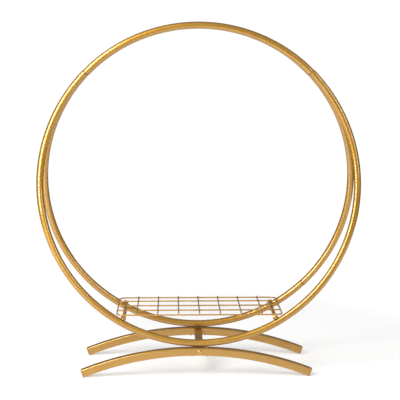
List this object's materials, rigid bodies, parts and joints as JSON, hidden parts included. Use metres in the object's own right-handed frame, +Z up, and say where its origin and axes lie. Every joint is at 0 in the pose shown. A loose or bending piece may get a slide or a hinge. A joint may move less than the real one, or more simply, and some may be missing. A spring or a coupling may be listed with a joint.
{
  "type": "firewood log rack",
  "caption": "Free-standing round log rack: tube hoops leaning together, arched square-tube feet with a crossbar, and a lift-off wire shelf on side rails.",
  "frame": {"origin": "on the floor, under the middle of the rack", "axes": "+Z up, +X across the hoops to the right seen from the front, -Y towards the front"},
  "size_m": [1.016, 0.303, 1.1034],
  "materials": {
    "gold_paint": "metallic gold powder coat, satin gloss",
    "gold_wire": "metallic gold coat on welded wire",
    "gold_fastener": "gold coated button-head bolts",
    "end_cap_plastic": "moulded gold-coloured plastic",
    "bare_steel": "plain steel"
  },
  "bodies": {
    "rack": {"front_hoop_top": "gold_paint", "front_hoop_right": "gold_paint", "front_hoop_bottom": "gold_paint", "front_hoop_left": "gold_paint", "front_splice_upper_right": "bare_steel", "front_splice_lower_right": "bare_steel", "front_splice_lower_left": "bare_steel", "front_splice_upper_left": "bare_steel", "back_hoop_top": "gold_paint", "back_hoop_right": "gold_paint", "back_hoop_bottom": "gold_paint", "back_hoop_left": "gold_paint", "back_splice_upper_right": "bare_steel", "back_splice_lower_right": "bare_steel", "back_splice_lower_left": "bare_steel", "back_splice_upper_left": "bare_steel", "top_spacer": "gold_paint", "top_bolt": "gold_fastener", "top_insert": "bare_steel", "front_foot": "gold_paint", "front_foot_cap_left": "end_cap_plastic", "front_foot_cap_right": "end_cap_plastic", "front_hoop_bolt_left": "gold_fastener", "front_hoop_spacer_left": "gold_paint", "front_hoop_insert_left": "bare_steel", "front_hoop_bolt_right": "gold_fastener", "front_hoop_spacer_right": "gold_paint", "front_hoop_insert_right": "bare_steel", "back_foot": "gold_paint", "back_foot_cap_left": "end_cap_plastic", "back_foot_cap_right": "end_cap_plastic", "back_hoop_bolt_left": "gold_fastener", "back_hoop_spacer_left": "gold_paint", "back_hoop_insert_left": "bare_steel", "back_hoop_bolt_right": "gold_fastener", "back_hoop_spacer_right": "gold_paint", "back_hoop_insert_right": "bare_steel", "foot_crossbar": "gold_paint", "crossbar_plug_front": "bare_steel", "crossbar_bolt_front": "gold_fastener", "crossbar_plug_back": "bare_steel", "crossbar_bolt_back": "gold_fastener", "shelf_rail_left": "gold_paint", "rail_bolt_front_left": "gold_fastener", "rail_insert_front_left": "bare_steel", "rail_bolt_back_left": "gold_fastener", "rail_insert_back_left": "bare_steel", "shelf_rail_right": "gold_paint", "rail_bolt_front_right": "gold_fastener", "rail_insert_front_right": "bare_steel", "rail_bolt_back_right": "gold_fastener", "rail_insert_back_right": "bare_steel"},
    "shelf": {"shelf_grid": "gold_wire"}
  },
  "joints": [
    {"name": "shelf_lift", "type": "slide", "parent": "rack", "child": "shelf", "axis": [0, 0, 1], "range_m": [0, 0.3]}
  ]
}
